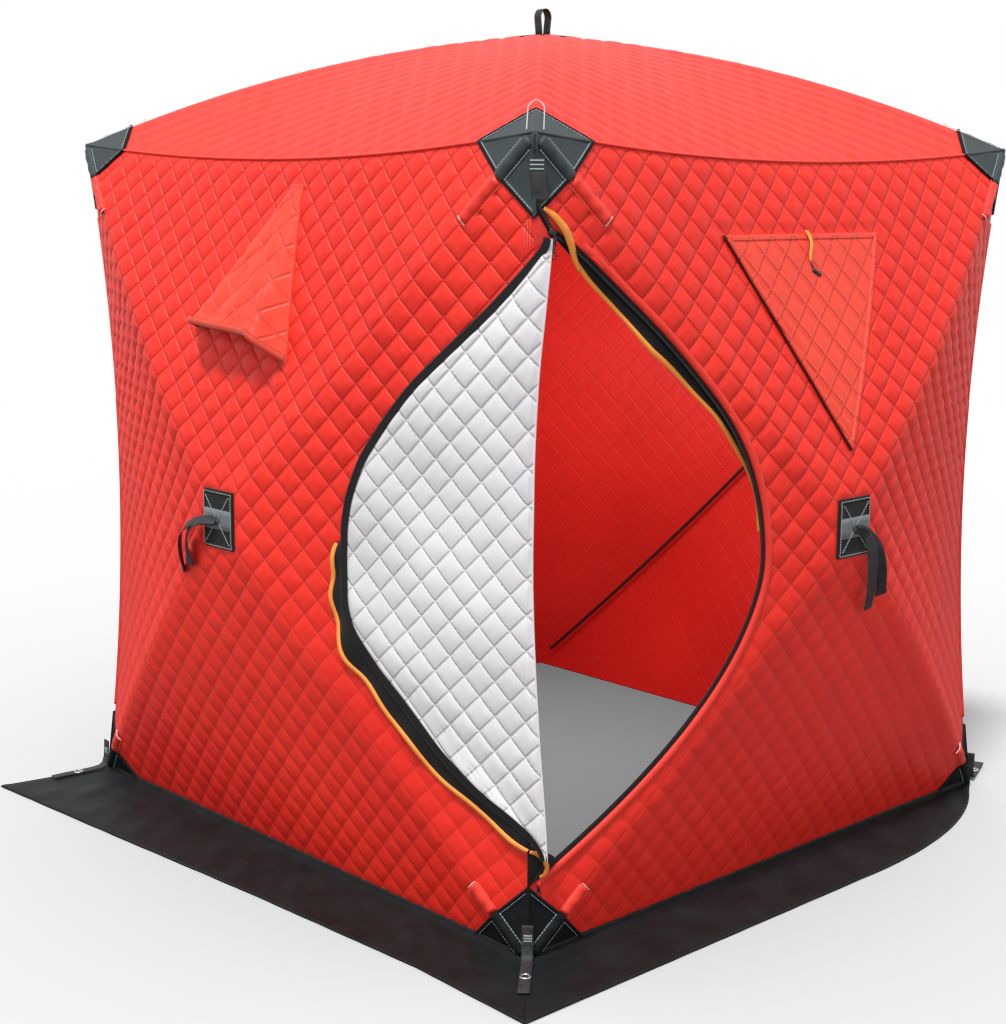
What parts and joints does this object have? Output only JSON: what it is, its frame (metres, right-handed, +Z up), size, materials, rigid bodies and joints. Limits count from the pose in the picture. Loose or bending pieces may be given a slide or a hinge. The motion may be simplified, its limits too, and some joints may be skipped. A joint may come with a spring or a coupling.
{
  "type": "ice fishing hut",
  "caption": "Pop-up ice fishing hut of quilted fabric on bent poles, with pushed-out hub walls, a zipped door flap folded back and a snow skirt.",
  "frame": {"origin": "middle of the base, on the ground", "axes": "+Z up, -Y out of the front wall with the vent hood, +X out of the right wall with the doorway"},
  "size_m": [2.192, 2.374, 2.1376],
  "materials": {
    "quilted_fabric": "quilted nylon with a slight sheen",
    "corner_cloth": "heavy coated cloth",
    "skirt_cloth": "coated cloth",
    "storm_cloth": "coated cloth",
    "zip_tape": "woven tape with coil teeth",
    "orange_piping": "binding tape",
    "webbing": "woven webbing",
    "hub_patch_cloth": "heavy cloth with a grey band",
    "vent_mesh": "fine mesh",
    "fibreglass_pole": "satin pultruded rod",
    "hub_plastic": "moulded",
    "grommet_metal": "plated"
  },
  "bodies": {
    "tent": {"anchor_grommets": "grommet_metal", "anchor_straps": "webbing", "back_hub": "hub_plastic", "back_left_bottom_cap": "corner_cloth", "back_left_top_cap": "corner_cloth", "back_poles": "fibreglass_pole", "back_right_bottom_cap": "corner_cloth", "back_right_top_cap": "corner_cloth", "back_skirt": "skirt_cloth", "back_vent_hood": "quilted_fabric", "back_vent_screen": "vent_mesh", "back_wall": "quilted_fabric", "doorway_storm_flap": "storm_cloth", "doorway_storm_piping": "orange_piping", "doorway_zip_tape": "zip_tape", "front_hub": "hub_plastic", "front_left_bottom_cap": "corner_cloth", "front_left_top_cap": "corner_cloth", "front_poles": "fibreglass_pole", "front_right_bottom_cap": "corner_cloth", "front_right_top_cap": "corner_cloth", "front_skirt": "skirt_cloth", "front_vent_hood": "quilted_fabric", "front_vent_screen": "vent_mesh", "front_wall": "quilted_fabric", "hub_patches": "hub_patch_cloth", "hub_pull_straps": "webbing", "left_hub": "hub_plastic", "left_poles": "fibreglass_pole", "left_skirt": "skirt_cloth", "left_wall": "quilted_fabric", "left_window_cover": "quilted_fabric", "right_hub": "hub_plastic", "right_poles": "fibreglass_pole", "right_skirt": "skirt_cloth", "right_wall": "quilted_fabric", "right_wall_door_panel": "quilted_fabric", "right_window_cover": "quilted_fabric", "roof_canopy": "quilted_fabric", "roof_hub": "hub_plastic", "roof_poles": "fibreglass_pole", "roof_strap_loop": "webbing", "top_corner_tab": "webbing", "zip_sliders": "grommet_metal"},
    "door": {"door_flap": "quilted_fabric", "door_storm_flap": "storm_cloth", "door_storm_piping": "orange_piping", "door_zip_tape": "zip_tape"}
  },
  "joints": [
    {"name": "door_swing", "type": "hinge", "parent": "tent", "child": "door", "pos_m": [0.88041, -0.88041, 0.887], "axis": [0, 0, 1], "range_deg": [0, 243.7]}
  ]
}
